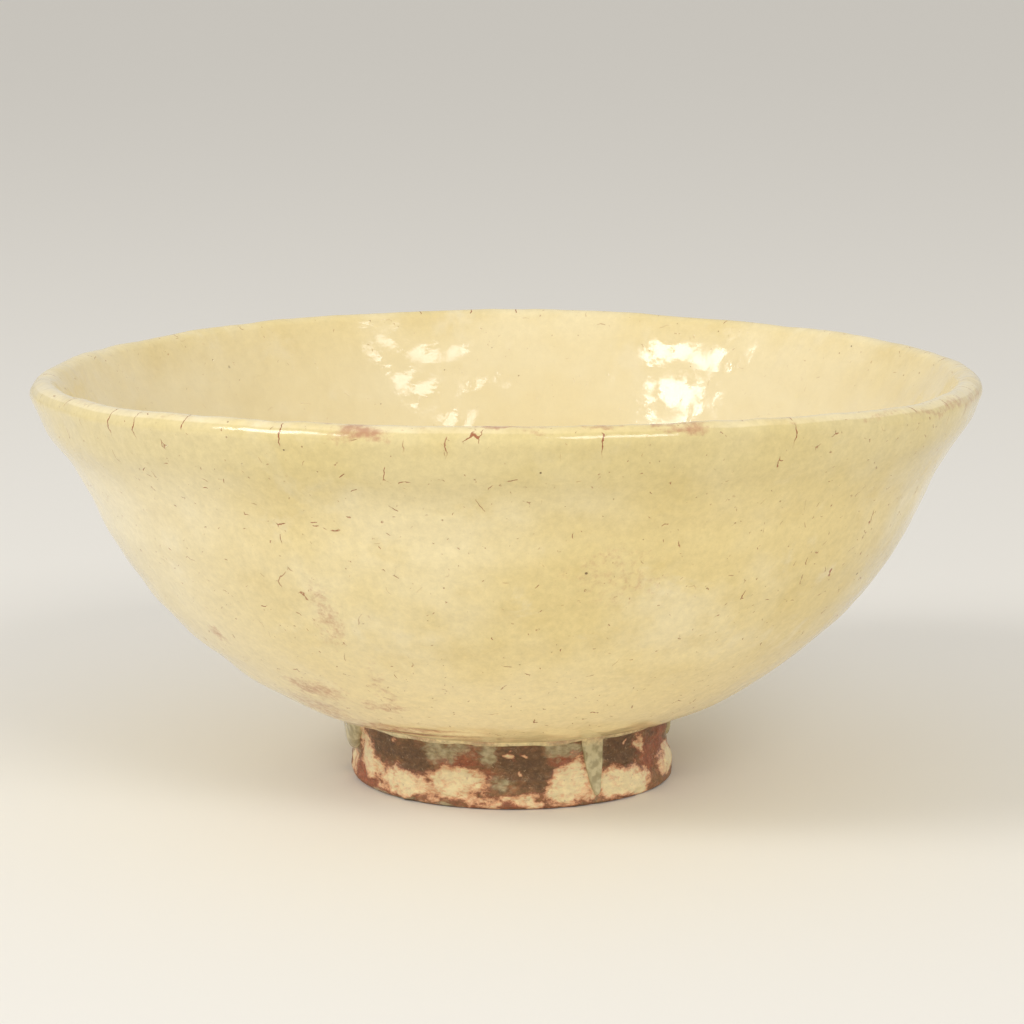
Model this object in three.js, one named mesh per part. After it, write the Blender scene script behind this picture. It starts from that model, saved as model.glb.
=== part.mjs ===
// A wide tea bowl for whisked green tea: a thrown stoneware bowl standing on a turned foot ring,
// glazed inside and out, with the foot left bare but for islands of glaze that ran onto it.
// Millimetres, +Z up. The origin is on the surface that the foot stands on, under the lip's middle.
import * as THREE from "three";

// Overall sizes, over the glaze.
const LIP_DIAMETER = 150; // mean, across the outside of the lip
const LIP_HEIGHT = 66.4; // mean height of the lip's crest above the base
const FOOT_DIAMETER = 52.4; // across the outside of the foot ring

// The bowl's clay.
const FOOT_HEIGHT = 12; // from the base to the joint of foot and bowl
const HIP_CLAY = 6; // wall thickness just above the joint
const LIP_CLAY = 2.6; // wall thickness at the lip, which is rounded over
const FLOOR_CLAY = 4.4; // floor thickness in the tea pool
const POOL_DIAMETER = 40; // the shallow pool in the floor, where the last of the tea gathers
const POOL_DEPTH = 1.1;
const POOL_SIDE = 2.5; // width of the pool's sloping side
const NIPPLE_DROP = 1.5; // the point left by the turning tool under the floor, inside the foot
const NIPPLE_DIAMETER = 14;

// The foot ring's clay.
const FOOT_WALL = 6.2; // width of the ring at its base
const FOOT_BEVEL = 1; // trimmed edges of the base
const FOOT_WAIST = 0.7; // how far its side is drawn in at half height
const RECESS_DRAFT = 1.2; // how much the hollow inside narrows towards the floor

// The glaze.
const GLAZE = 0.6; // thickness of a coat
const BOND_GAP = 0.3; // clearance that keeps coat and clay separate solids
const ISLAND_GLAZE = 0.5; // thickness of an island's middle
const ISLAND_THINNING = 0.5; // share of it that is lost at the rim
const OVERRUN = 1; // steps of the wall's inside that the outer coat covers below the lip

// The potter's hand.
const LIP_OVAL = 0.55; // the lip is this much wider along X than its mean, and narrower along Y
const LIP_SWAY = 0.85; // its crest rises this much at the front and back and dips at the sides
const LIP_TILT = 0.38; // and this much more at the front
const FOOT_LEAN = 0.95; // the base sits this far to +X of the joint

// Facets.
const SEGMENTS = 48; // round the bowl
const WALL_STEPS = 12; // up the wall
const LIP_STEPS = 3; // over the lip
const FOOT_STEPS = 4; // up the foot's side
const ISLAND_STEPS = [5, 3, 1]; // along, up and through an island

// The bowl's outside, as shares of the way out and up from the joint to the lip:
// nearly flat over the foot, a full hip, a wall that straightens, then a lip turned outwards.
const WALL_SHAPE = [
  [0, 0],
  [0.1, 0.013],
  [0.32, 0.13],
  [0.585, 0.337],
  [0.757, 0.563],
  [0.861, 0.774],
  [0.913, 0.852],
  [0.972, 0.928],
  [1, 1],
];

// The glaze islands round the foot: degrees of the middle from the front towards +X, degrees
// wide, and the shares of the foot's height where it starts and ends.
const ISLANDS = [
  [-62, 12, 0.14, 0.72],
  [-41, 22, 0.07, 0.44],
  [-19, 15, 0.17, 0.5],
  [22, 16, 0.07, 0.62],
  [46, 22, 0.06, 0.45],
  [74, 20, 0.13, 0.52],
  [102, 24, 0.09, 0.54],
  [133, 14, 0.27, 0.63],
  [163, 21, 0.09, 0.55],
  [192, 14, 0.11, 0.62],
  [221, 23, 0.1, 0.46],
  [256, 18, 0.14, 0.63],
];

const LIP_RADIUS = LIP_DIAMETER / 2;
const FOOT_RADIUS = FOOT_DIAMETER / 2;
const POOL_RADIUS = POOL_DIAMETER / 2;
const COAT = BOND_GAP + GLAZE; // how far a coat's surface stands off the clay
const LIP_ROUND = LIP_CLAY / 2; // radius over the lip's clay
const LIP_MIDDLE = LIP_HEIGHT - COAT - LIP_ROUND; // height of that round's centre
const FLOOR_HEIGHT = FOOT_HEIGHT + FLOOR_CLAY;

const GLAZE_FINISH = { color: "#e9dca9", roughness: 0.18, metalness: 0 };
const CLAY_FINISH = { color: "#6b4a3b", roughness: 0.85, metalness: 0 };
const ISLAND_FINISH = { color: "#e3c9a0", roughness: 0.35, metalness: 0 };

const at = (radius, height) => new THREE.Vector2(radius, height);

// The clay's outside, from the joint with the foot to the lip's outermost point.
function clayOutside() {
  const out = LIP_RADIUS - COAT - FOOT_RADIUS;
  const up = LIP_MIDDLE - FOOT_HEIGHT;
  const corners = WALL_SHAPE.map(([x, y]) => at(FOOT_RADIUS + x * out, FOOT_HEIGHT + y * up));
  return new THREE.SplineCurve(corners).getSpacedPoints(WALL_STEPS);
}

// The half circle over the clay's lip, without its two ends, from the outside inwards.
function clayLip() {
  const middle = at(LIP_RADIUS - COAT - LIP_ROUND, LIP_MIDDLE);
  return Array.from({ length: LIP_STEPS }, (_, i) => {
    const turn = (Math.PI * (i + 1)) / (LIP_STEPS + 1);
    return at(LIP_ROUND * Math.cos(turn), LIP_ROUND * Math.sin(turn)).add(middle);
  });
}

// A line set off to the right of the way it runs, by a distance that may change along it.
function setOff(line, distance) {
  const last = line.length - 1;
  return line.map((p, i) => {
    const along = line[Math.min(i + 1, last)].clone().sub(line[Math.max(i - 1, 0)]).normalize();
    return at(along.y, -along.x).multiplyScalar(distance(i / last)).add(p);
  });
}

// The clay's inside, from the lip down to the floor: the wall thins as it rises.
function clayInside(outside) {
  const thickness = (share) => LIP_CLAY + (HIP_CLAY - LIP_CLAY) * (1 - share) ** 2;
  const wall = setOff(outside, (share) => -thickness(share)).slice(0, -1);
  const clearOfPool = wall.filter((p) => p.x > POOL_RADIUS + POOL_SIDE);
  return [at(LIP_RADIUS - COAT - LIP_CLAY, LIP_MIDDLE), ...clearOfPool.reverse()];
}

// The floor's top: the pool's rim, its side, and its flat middle.
function clayFloor() {
  return [
    at(POOL_RADIUS, FLOOR_HEIGHT + POOL_DEPTH),
    at(POOL_RADIUS - POOL_SIDE, FLOOR_HEIGHT),
    at(0, FLOOR_HEIGHT),
  ];
}

// The radius of the foot's side at a height.
function footSide(height) {
  return FOOT_RADIUS - FOOT_WAIST * Math.sin((Math.PI * height) / FOOT_HEIGHT);
}

// The ring's closed outline: up the side, across the joint, down the hollow and over the base.
function footOutline() {
  const bottom = FOOT_RADIUS - FOOT_WALL;
  const side = Array.from({ length: FOOT_STEPS + 1 }, (_, i) => {
    const height = THREE.MathUtils.lerp(FOOT_BEVEL, FOOT_HEIGHT, i / FOOT_STEPS);
    return at(footSide(height), height);
  });
  const start = at(footSide(0) - FOOT_BEVEL, 0);
  return [
    start,
    ...side,
    at(bottom - RECESS_DRAFT, FOOT_HEIGHT),
    at(bottom, FOOT_BEVEL),
    at(bottom + FOOT_BEVEL, 0),
    start,
  ];
}

// Every piece takes the same hand-made shape: the oval, swaying, tilted lip, which fades out
// down to the joint, and the foot that leans below it.
function shapeByHand(geometry) {
  const positions = geometry.getAttribute("position");
  const p = new THREE.Vector3();
  for (let i = 0; i < positions.count; i += 1) {
    p.fromBufferAttribute(positions, i);
    const angle = Math.atan2(p.y, p.x);
    const rise = Math.max(0, (p.z - FOOT_HEIGHT) / (LIP_HEIGHT - FOOT_HEIGHT)) ** 2;
    const oval = LIP_OVAL * Math.cos(2 * angle) * rise;
    const sway = LIP_SWAY * Math.cos(2 * angle) + LIP_TILT * Math.sin(angle);
    const lean = FOOT_LEAN * Math.max(0, 1 - p.z / FOOT_HEIGHT);
    p.x += oval * Math.cos(angle) + lean;
    p.y += oval * Math.sin(angle);
    p.z -= sway * rise;
    positions.setXYZ(i, p.x, p.y, p.z);
  }
  return geometry;
}

// A piece turned round the Z axis from its outline.
function turned(outline) {
  return shapeByHand(new THREE.LatheGeometry(outline, SEGMENTS).rotateX(Math.PI / 2));
}

// One island: a block pulled into a rounded patch, thin at its rim and bent round the foot.
function island(degrees, wide, start, end) {
  const geometry = new THREE.BoxGeometry(2, 2, 1, ...ISLAND_STEPS);
  const positions = geometry.getAttribute("position");
  const p = new THREE.Vector3();
  for (let i = 0; i < positions.count; i += 1) {
    p.fromBufferAttribute(positions, i);
    const across = p.x * Math.sqrt(1 - (p.y * p.y) / 2);
    const up = p.y * Math.sqrt(1 - (p.x * p.x) / 2);
    const z = FOOT_HEIGHT * THREE.MathUtils.lerp(start, end, (up + 1) / 2);
    const swell = 1 - ISLAND_THINNING * Math.min(1, Math.hypot(across, up));
    const radius = footSide(z) + BOND_GAP + (p.z + 0.5) * ISLAND_GLAZE * swell;
    const turn = THREE.MathUtils.degToRad(degrees + (across * wide) / 2);
    positions.setXYZ(i, radius * Math.sin(turn), -radius * Math.cos(turn), z);
  }
  return shapeByHand(geometry);
}

function piece(name, geometry, finish) {
  const mesh = new THREE.Mesh(geometry, new THREE.MeshStandardMaterial(finish));
  mesh.name = name;
  return mesh;
}

const outside = clayOutside();
const lip = clayLip();
const inside = clayInside(outside);
const floor = clayFloor();
const bowl = new THREE.Group();

// The bowl's clay: the flat underside with the turning tool's point, then the coated skin.
const skin = [...outside, ...lip, ...inside, ...floor];
const underside = [at(0, FOOT_HEIGHT - NIPPLE_DROP), at(NIPPLE_DIAMETER / 2, FOOT_HEIGHT)];
bowl.add(piece("bowl_body", turned([...underside, ...skin]), CLAY_FINISH));
bowl.add(piece("foot_ring", turned(footOutline()), CLAY_FINISH));

// The coats lie off the skin. The outer one starts clear of the foot, runs over the lip and ends
// a little way down the inside, where the inner one starts.
const topSide = setOff(skin, () => COAT);
const bondSide = setOff(skin, () => BOND_GAP);
const meeting = outside.length + lip.length + OVERRUN;
const shortened = (line, first, next) => {
  const step = line[first].distanceTo(line[next]);
  return line[first].clone().lerp(line[next], BOND_GAP / step);
};
const outerCoat = (line) => [shortened(line, 0, 1), ...line.slice(1, meeting + 1)];
const innerCoat = (line) => [shortened(line, meeting, meeting + 1), ...line.slice(meeting + 1)];

const outerTop = outerCoat(topSide);
const outerLoop = [...outerTop, ...outerCoat(bondSide).reverse(), outerTop[0]];
bowl.add(piece("outer_glaze", turned(outerLoop), GLAZE_FINISH));
const innerLoop = [...innerCoat(bondSide).reverse(), ...innerCoat(topSide)];
bowl.add(piece("inner_glaze", turned(innerLoop), GLAZE_FINISH));

ISLANDS.forEach((sizes, i) => {
  bowl.add(piece(`foot_glaze_island_${i + 1}`, island(...sizes), ISLAND_FINISH));
});

export default bowl;
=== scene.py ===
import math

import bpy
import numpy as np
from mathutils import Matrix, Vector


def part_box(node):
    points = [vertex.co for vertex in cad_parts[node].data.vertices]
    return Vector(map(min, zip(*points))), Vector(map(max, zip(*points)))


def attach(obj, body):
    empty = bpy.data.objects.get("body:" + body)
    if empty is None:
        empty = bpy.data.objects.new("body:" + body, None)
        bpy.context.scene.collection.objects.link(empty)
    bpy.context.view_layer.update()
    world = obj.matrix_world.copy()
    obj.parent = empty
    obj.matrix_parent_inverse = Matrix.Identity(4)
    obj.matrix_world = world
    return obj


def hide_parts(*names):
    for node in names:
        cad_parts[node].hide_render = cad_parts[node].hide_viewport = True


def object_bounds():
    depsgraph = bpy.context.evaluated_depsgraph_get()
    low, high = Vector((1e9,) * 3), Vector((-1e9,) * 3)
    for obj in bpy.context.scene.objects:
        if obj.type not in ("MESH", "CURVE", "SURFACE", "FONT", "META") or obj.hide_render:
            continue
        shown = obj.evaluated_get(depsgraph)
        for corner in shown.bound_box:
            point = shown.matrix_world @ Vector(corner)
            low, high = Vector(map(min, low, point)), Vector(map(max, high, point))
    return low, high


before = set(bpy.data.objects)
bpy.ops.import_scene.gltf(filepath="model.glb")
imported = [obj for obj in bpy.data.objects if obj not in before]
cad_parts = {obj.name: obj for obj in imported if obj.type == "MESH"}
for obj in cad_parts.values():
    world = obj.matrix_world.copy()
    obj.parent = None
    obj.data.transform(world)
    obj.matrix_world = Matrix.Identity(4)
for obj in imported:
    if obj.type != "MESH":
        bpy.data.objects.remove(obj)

# A hand-thrown tea bowl, wide and open, in thick ivory glaze on a bare, glaze-spattered foot.
# Sizes in the piece sections are in millimetres, as the potter would give them; each mesh is
# turned to metres as it is made. The bowl's front is -Y, and a turn is measured from there
# towards +X.

cad_low, cad_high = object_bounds()


# ---------------------------------------------------------------------------------------------
# The camera stands a good arm's length off and a little above the lip, looking slightly down, so
# that the far inside of the bowl shows over the near lip.
CAMERA_BACK = 0.5532
CAMERA_UP = 0.1413
CAMERA_ASIDE = 0.0008
CAMERA_DOWN = 10.11
LENS = 122.6

camera = bpy.data.objects.new("camera", bpy.data.cameras.new("camera"))
camera.data.lens = LENS
camera.location = (CAMERA_ASIDE, -CAMERA_BACK, CAMERA_UP)
camera.rotation_euler = (math.radians(90 - CAMERA_DOWN), 0, 0)
bpy.context.collection.objects.link(camera)
bpy.context.scene.camera = camera
bpy.context.scene.view_settings.view_transform = "Standard"


# ---------------------------------------------------------------------------------------------
# The clay bowl: one lump of coarse, iron-bearing stoneware, thrown on the wheel, turned underneath
# when leather hard, and fired. Only its turned underside shows, inside the foot; the rest is the
# ground that the glaze lies on.
MM = 0.001
coat_low, coat_high = (np.array(corner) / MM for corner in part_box("outer_glaze"))
foot_low, foot_high = (np.array(corner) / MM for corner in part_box("foot_ring"))
LIP_RADIUS = (coat_high - coat_low)[:2].mean() / 2
FOOT_HEIGHT = foot_high[2]
FOOT_RADIUS = (foot_high - foot_low)[1] / 2
LIP_TILT = 0.38  # the lip's crest is this much higher at the front
LIP_SWAY = 0.85  # and rises this much at front and back and dips as much at the sides
LIP_HEIGHT = coat_high[2] - LIP_SWAY - LIP_TILT
LIP_OVAL = 0.55  # the lip is this much wider along X than its mean
FOOT_LEAN = 0.95  # the base sits this far to +X of the joint
FOOT_WAIST = 0.7  # how far the foot's side is drawn in at half height
BOND = 0.3  # the line between clay and glaze
COAT = 0.9  # from the clay to the glaze's surface
LIP_CLAY = 2.6
HIP_CLAY = 6
FLOOR_CLAY = 4.4
POOL_RADIUS = 20
POOL_DEPTH = 1.1
POOL_SIDE = 2.5
FLARE_START = 0.72  # share of the wall's height where the outside starts to flare
CROWD = 1.25  # rows lie closer together low on the wall by this power
LIP_TURN = 152  # degrees the lip rounds through before it runs into the inside
NIPPLE_DROP = 1.5
NIPPLE_RADIUS = 7
ROUND_BOWL = 640  # columns round the bowl
# Unevenness, as layers of random hills: how high they are, how far across, and their seed.
LIP_WAVER = [(0.32, 30, 1), (0.16, 9, 2)]
WALL_DENTS = [(0.55, 34, 3), (0.2, 13, 4)]
SCRAPED_BASE = [(0.09, 3, 11), (0.04, 1.1, 12)]
LEFT_FLARE, FLARE_HEIGHT, FLARE_REACH = 0.5, 57, 6
KNIFE_PITCH, KNIFE_DEPTH = 1.7, 0.07  # the spiral that the turning knife left under the bowl
CLAY_DARK = "#5E4332"
CLAY_LIGHT = "#8A6648"
CLAY_GRIT = "#C9AE8B"
# The wall's outside from the joint to the lip, as shares of the way out and of the way up.
WALL_SHAPE = [
    (0, 0), (0.1, 0.022), (0.32, 0.13), (0.585, 0.337), (0.757, 0.563),
    (0.863, 0.774), (0.915, 0.852), (0.969, 0.928), (1, 1),
]


def rounded_line(corners, count, crowd=1.0):
    """Points spaced by length on the smooth curve through the corners, crowded to its start.

    Between two corners the curve is the cubic whose ends run parallel to the lines that join
    the corners on either side (Catmull-Rom).
    """
    p = np.asarray(corners, float)
    p = np.vstack([2 * p[0] - p[1], p, 2 * p[-1] - p[-2]])
    t = np.linspace(0, len(p) - 3, 60 * (len(p) - 3) + 1)
    i = np.minimum(t.astype(int), len(p) - 4)
    f = (t - i)[:, None]
    a, b, c, d = p[i], p[i + 1], p[i + 2], p[i + 3]
    bend = (2 * a - 5 * b + 4 * c - d) * f**2 + (3 * b - 3 * c + d - a) * f**3
    curve = 0.5 * (2 * b + (c - a) * f + bend)
    length = np.concatenate([[0], np.cumsum(np.linalg.norm(np.diff(curve, axis=0), axis=1))])
    spaced = length[-1] * np.linspace(0, 1, count) ** crowd
    return np.stack([np.interp(spaced, length, curve[:, k]) for k in (0, 1)], axis=1)


def set_off(line, distance):
    """A line moved to the right of the way it runs, which is the outside, by a distance."""
    along = np.gradient(line, axis=0)
    along /= np.linalg.norm(along, axis=1)[:, None]
    return line + np.stack([along[:, 1], -along[:, 0]], axis=1) * np.asarray(distance)[..., None]


def swells(points, size, seed):
    """Smooth random heights from about -1 to 1 at points in space, with hills `size` across.

    Each corner of a cubic lattice has a random slope; a point takes the height that each of its
    eight corners' slopes gives there, blended by a curve that is level at the corners.
    """
    slopes = np.random.default_rng(seed).normal(size=(4096, 3))
    slopes /= np.linalg.norm(slopes, axis=1)[:, None]
    cell, part = np.divmod(np.asarray(points, float) / size, 1)
    ease = part**3 * (part * (part * 6 - 15) + 10)
    total = np.zeros(part.shape[:-1])
    for corner in np.ndindex(2, 2, 2):
        key = ((cell.astype(int) + corner) * (73856093, 19349663, 83492791)).astype(np.int64)
        key = (key[..., 0] ^ key[..., 1] ^ key[..., 2]) & 4095
        weight = np.where(corner, ease, 1 - ease).prod(axis=-1)
        total += weight * (slopes[key] * (part - corner)).sum(axis=-1)
    return total * 1.6


def layered(points, hills):
    """Layers of random hills added up: each has a height, a size across and a seed."""
    return sum(height * swells(points, size, seed) for height, size, seed in hills)


def hump(value, middle, half_width):
    """A smooth hill of height 1 at the middle that is down to a third at half_width from it."""
    return np.exp(-(((value - middle) / half_width) ** 2))


def by_hand(radius, height, turn):
    """Where the potter's hand puts a point of the true turned form: its x, y and z.

    The lip is a slightly tilted, swaying oval with a wavering crest, and this fades out down to
    the joint with the square of the height. The wall has broad shallow dents and flares a little
    more on the left under the lip. Below the joint the foot leans to the right.
    """
    radius, height, turn = np.broadcast_arrays(radius, height, turn)
    around = np.stack([np.sin(turn), -np.cos(turn), np.zeros_like(turn)], axis=-1)
    true = around * radius[..., None] + np.stack([0 * height, 0 * height, height], axis=-1)
    rise = np.clip((height - FOOT_HEIGHT) / (LIP_HEIGHT - FOOT_HEIGHT), 0, None)
    waver = layered(around * LIP_RADIUS, LIP_WAVER)
    dents = layered(true, WALL_DENTS)
    to_left = np.clip(-around[..., 0], 0, 1)
    flare = LEFT_FLARE * hump(height, FLARE_HEIGHT, FLARE_REACH) * to_left**2
    out = -LIP_OVAL * np.cos(2 * turn) * rise**2 + dents * np.minimum(1, 2 * rise) + flare
    lift = (LIP_SWAY * np.cos(2 * turn) + LIP_TILT * np.cos(turn) + waver) * rise**2
    lean = FOOT_LEAN * np.clip(1 - height / FOOT_HEIGHT, 0, None)
    placed = around * (radius + out)[..., None]
    placed[..., 0] += lean
    placed[..., 2] = height + lift
    return placed


def skin_mesh(name, points, wrap_rows, poles=(), sharp_rows=(), **attributes):
    """A closed mesh from a grid of points in millimetres, faces outward.

    Rows follow the outline, with the outside on the right, and columns go round and close. The
    last row joins the first if wrap_rows is set; otherwise a fan closes each end on its pole.
    Attributes hold one number for each point of the grid, and a pole takes the mean of its row.
    """
    rows, columns = points.shape[:2]
    index = np.arange(rows * columns).reshape(rows, columns)
    beside = np.roll(index, -1, axis=1)
    quads = np.stack([index, beside, np.roll(beside, -1, axis=0), np.roll(index, -1, axis=0)], axis=-1)
    quads = (quads if wrap_rows else quads[:-1]).reshape(-1, 4)
    fans = np.zeros((0, 3), int)
    if poles:
        first = np.stack([beside[0], index[0], np.full(columns, rows * columns)], axis=-1)
        last = np.stack([index[-1], beside[-1], np.full(columns, rows * columns + 1)], axis=-1)
        fans = np.concatenate([first, last])
    loops = np.concatenate([quads.ravel(), fans.ravel()])
    sizes = np.concatenate([np.full(len(quads), 4), np.full(len(fans), 3)])
    vertices = np.concatenate([points.reshape(-1, 3), np.reshape(poles, (-1, 3))]) * MM

    mesh = bpy.data.meshes.new(name)
    mesh.vertices.add(len(vertices))
    mesh.vertices.foreach_set("co", vertices.ravel())
    mesh.loops.add(len(loops))
    mesh.loops.foreach_set("vertex_index", loops)
    mesh.polygons.add(len(sizes))
    mesh.polygons.foreach_set("loop_start", np.concatenate([[0], np.cumsum(sizes)[:-1]]))
    mesh.update(calc_edges=True)
    mesh.polygons.foreach_set("use_smooth", np.ones(len(sizes), bool))
    ends = np.empty(len(mesh.edges) * 2, int)
    mesh.edges.foreach_get("vertices", ends)
    row_of = ends.reshape(-1, 2) // columns
    creased = (row_of[:, 0] == row_of[:, 1]) & np.isin(row_of[:, 0], sharp_rows)
    mesh.attributes.new("sharp_edge", "BOOLEAN", "EDGE").data.foreach_set("value", creased)
    for label, values in attributes.items():
        values = np.broadcast_to(values, points.shape[:2])
        whole = np.concatenate([values.ravel(), [values[0].mean(), values[-1].mean()][: len(poles)]])
        mesh.attributes.new(label, "FLOAT", "POINT").data.foreach_set("value", whole.astype(np.float32))
    mesh.validate()
    piece = bpy.data.objects.new(name, mesh)
    bpy.context.collection.objects.link(piece)
    return piece


def linear(hex_colour):
    """The linear red, green, blue and alpha of an sRGB colour written in hex."""
    srgb = np.array([int(hex_colour[k : k + 2], 16) / 255 for k in (1, 3, 5)])
    return (*np.where(srgb <= 0.04045, srgb / 12.92, ((srgb + 0.055) / 1.055) ** 2.4), 1.0)


def new_material(name):
    """A node material and its shader, which is already joined to the output."""
    material = bpy.data.materials.new(name)
    material.use_nodes = True
    shader = next(n for n in material.node_tree.nodes if n.type == "BSDF_PRINCIPLED")
    return material, shader


def fill_in(made, inputs):
    """Sets a node's inputs, by name or number, each to a value or to a link from an output."""
    for label, value in inputs.items():
        if isinstance(value, bpy.types.NodeSocket):
            made.id_data.links.new(value, made.inputs[label])
        else:
            made.inputs[label].default_value = value


def node(material, kind, inputs, output=0, **settings):
    """Adds one node with its settings and inputs, and gives one of its outputs."""
    made = material.node_tree.nodes.new("ShaderNode" + kind)
    for label, value in settings.items():
        setattr(made, label, value)
    fill_in(made, inputs)
    return made.outputs[output]


SMOOTH = {"interpolation_type": "SMOOTHSTEP"}
TIMES = {"operation": "MULTIPLY"}
PLUS = {"operation": "ADD"}
TIMES_PLUS = {"operation": "MULTIPLY_ADD"}


def in_mm(material):
    """The place on the piece, in millimetres, so that a noise's scale is one over its size."""
    place = node(material, "TexCoord", {}, "Object")
    return node(material, "VectorMath", {0: place, "Scale": 1 / MM}, operation="SCALE")


def laid_on(material, ground, over, cover, low, high, most=1.0, least=0.0):
    """A ground colour with another laid over it: its share goes smoothly from the least to the
    most as the cover goes from low to high."""
    over = linear(over) if isinstance(over, str) else over
    share = node(material, "MapRange", {0: cover, 1: low, 2: high, 3: least, 4: most}, **SMOOTH)
    return node(material, "Mix", {0: share, 6: ground, 7: over}, 2, data_type="RGBA")


def relief_of(material, *parts):
    """Heights in millimetres, each a pattern and how far it stands, added up and made a normal."""
    height = 0.0
    for pattern, stands in parts:
        height = node(material, "Math", {0: pattern, 1: stands, 2: height}, **TIMES_PLUS)
    return node(material, "Bump", {"Strength": 1.0, "Distance": MM, "Height": height})


def bare_stoneware():
    """Fired iron-bearing stoneware as turned with a knife: matt, brown, with pale grit torn out
    of the surface and fine rings left by the tool, so it scatters light with hardly any gloss."""
    material, shader = new_material("bare_stoneware")
    place = in_mm(material)
    blotches = node(material, "TexNoise", {"Vector": place, "Scale": 1 / 5, "Detail": 4})
    torn = node(material, "TexNoise", {"Vector": place, "Scale": 1 / 0.45, "Detail": 1})
    tooth = node(material, "TexNoise", {"Vector": place, "Scale": 1 / 0.5, "Detail": 3})
    colour = laid_on(material, linear(CLAY_DARK), CLAY_LIGHT, blotches, 0.35, 0.65)
    grit = node(material, "MapRange", {0: torn, 1: 0.68, 2: 0.74}, **SMOOTH)
    colour = laid_on(material, colour, CLAY_GRIT, grit, 0, 1)
    normal = relief_of(material, (tooth, 0.12), (grit, 0.05))
    fill_in(shader, {"Base Color": colour, "Roughness": 0.82, "IOR": 1.5, "Normal": normal})
    return material


def join_row(first, second):
    """Two stretches of an outline as one, without repeating the point where they meet."""
    return np.concatenate([first, second[1:]])


turns = np.linspace(0, 2 * math.pi, ROUND_BOWL, endpoint=False)
wall_out = LIP_RADIUS - COAT - FOOT_RADIUS
lip_middle = LIP_HEIGHT - COAT - LIP_CLAY / 2
wall_up = lip_middle - FOOT_HEIGHT
wall_corners = [(FOOT_RADIUS + x * wall_out, FOOT_HEIGHT + y * wall_up) for x, y in WALL_SHAPE]


def clay_skin(wall_rows, lip_rows, inside_rows, floor_rows):
    """The clay's skin from the joint, up the wall, over the round lip, down the inside and across
    the pool to the axis, and the number of points before the lip and before the inside."""
    wall = rounded_line(wall_corners, wall_rows, CROWD)
    sweep = np.linspace(0, math.radians(LIP_TURN), lip_rows)[:, None]
    lip_centre = np.array([LIP_RADIUS - COAT - LIP_CLAY / 2, lip_middle])
    lip = lip_centre + LIP_CLAY / 2 * np.hstack([np.cos(sweep), np.sin(sweep)])
    down = rounded_line(wall_corners, 25)[::-1]
    rise = (down[:, 1] - FOOT_HEIGHT) / wall_up
    inner = set_off(down, LIP_CLAY + (HIP_CLAY - LIP_CLAY) * (1 - rise) ** 2)
    inner = inner[(rise < FLARE_START) & (inner[:, 0] > POOL_RADIUS + 2 * POOL_SIDE)]
    floor = FOOT_HEIGHT + FLOOR_CLAY
    inside_corners = np.vstack([lip[-1], inner[::3], (POOL_RADIUS, floor + POOL_DEPTH)])
    inside = rounded_line(inside_corners, inside_rows)
    pool_edge = (POOL_RADIUS - POOL_SIDE, floor + 0.15)
    pool = rounded_line([inside[-1], pool_edge, (POOL_RADIUS / 2, floor), (0, floor)], floor_rows)
    skin = join_row(join_row(join_row(wall, lip), inside), pool)
    return skin, len(wall), len(wall) + len(lip) - 1


skin, _, _ = clay_skin(wall_rows=24, lip_rows=9, inside_rows=24, floor_rows=8)
nipple_corners = [
    (0.4, FOOT_HEIGHT - NIPPLE_DROP), (NIPPLE_RADIUS * 0.45, FOOT_HEIGHT - NIPPLE_DROP * 0.55),
    (NIPPLE_RADIUS, FOOT_HEIGHT - 0.1), (12, FOOT_HEIGHT),
]
level = np.linspace((12.4, FOOT_HEIGHT), (FOOT_RADIUS - 0.3, FOOT_HEIGHT), 34)
underside = np.vstack([rounded_line(nipple_corners, 30), level])
clay_line = np.vstack([underside, skin[:-1]])
clay_turns = turns[::2]
clay = by_hand(clay_line[:, :1], clay_line[:, 1:], clay_turns)
under = np.arange(len(clay_line)) < len(underside)
spiral = np.sin(2 * math.pi * clay_line[:, :1] / KNIFE_PITCH + clay_turns)
scraped = KNIFE_DEPTH * spiral + layered(clay, SCRAPED_BASE)
in_recess = under[:, None] & (clay_line[:, :1] < FOOT_RADIUS - 6)
clay[..., 2] += np.where(in_recess, scraped, 0)
bowl_body = skin_mesh(
    "bowl_body_clay", clay, False,
    poles=[(0, 0, FOOT_HEIGHT - NIPPLE_DROP), (0, 0, FOOT_HEIGHT + FLOOR_CLAY)],
)
bowl_body.data.materials.append(bare_stoneware())
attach(bowl_body, "root")
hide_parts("bowl_body")


# ---------------------------------------------------------------------------------------------
# The foot ring: the same clay, luted to the bowl and turned with a knife that left a drawn-in
# waist and a cut bevel. Wiped of glaze before the firing, it has burnt from near black to iron
# red, with films of thin grey-green glaze where some was left.
FOOT_WALL = 6.2
FOOT_BEVEL = 1.0
RECESS_DRAFT = 1.2
ROUND_FOOT = 900  # columns round the foot
SIDE_LUMPS = [(0.3, 9, 21), (0.2, 3.2, 22), (0.08, 1.2, 23)]
MARKS_ASIDE = [(1.5, 4.4, 31), (0.9, 1.8, 32), (0.35, 0.8, 35)]
MARKS_ABOVE = [(0.8, 3.6, 33), (0.5, 1.5, 34), (0.25, 0.8, 36)]
BURNT = "#A87550"
UMBER = "#84643E"
CHARRED = "#6E5136"
IRON_RED = "#A95F40"
FILM_PALE = "#D0C49C"
FILM_DARK = "#A6966E"
MAROON = "#955339"
SALMON = "#EBB286"
CREAM = "#F8E7B6"
# Bulges of the side: degrees from the front, height, half widths in degrees and mm, how far out.
BULGES = [
    (84, 11.2, 22, 1.5, 0.7), (80, 3.4, 14, 1.6, 0.55), (-84, 1.8, 14, 1.3, 0.3),
    (140, 3, 20, 2, 0.4), (230, 9.5, 24, 1.6, 0.4),
]
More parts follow.
